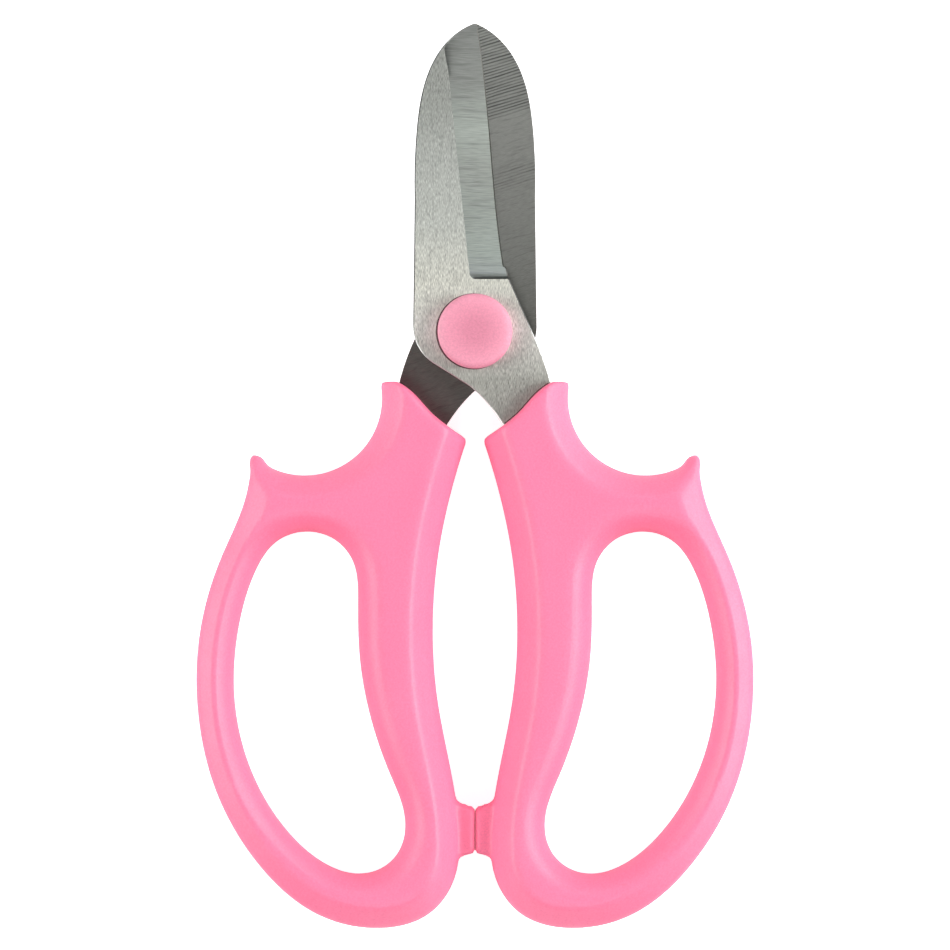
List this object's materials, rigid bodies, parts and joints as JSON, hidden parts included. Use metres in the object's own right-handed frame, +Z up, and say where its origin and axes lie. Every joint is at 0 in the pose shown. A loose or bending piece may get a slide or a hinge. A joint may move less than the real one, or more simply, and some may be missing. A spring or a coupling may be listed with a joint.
{
  "type": "floral snips",
  "caption": "Flower-cutting snips: straight bevelled steel blades on a capped pivot screw, with soft pink loop handles that have finger rests and stop lugs.",
  "frame": {"origin": "on the pivot axis, at the flat face of the rear cap, which lies on the table", "axes": "+Y along the tool from the handles to the blade tips, +X to the right-hand loop, +Z up through the thickness, towards the front cap"},
  "size_m": [0.1046, 0.17, 0.013],
  "materials": {
    "blade_steel": "ground and brushed stainless",
    "handle_plastic": "soft-touch matte pink",
    "cap_plastic": "fine satin pink",
    "hardware_steel": "zinc plated"
  },
  "bodies": {
    "left_half": {"rear_blade": "blade_steel", "left_handle": "handle_plastic", "pivot_screw": "hardware_steel", "pivot_nut": "hardware_steel", "head_washer": "hardware_steel", "spring_washer": "hardware_steel", "front_cap": "cap_plastic", "rear_cap": "cap_plastic"},
    "right_half": {"front_blade": "blade_steel", "right_handle": "handle_plastic"}
  },
  "joints": [
    {"name": "pivot", "type": "hinge", "parent": "left_half", "child": "right_half", "pos_m": [0, 0, 0.0065], "axis": [0, 0, 1], "range_deg": [0, 78]}
  ]
}
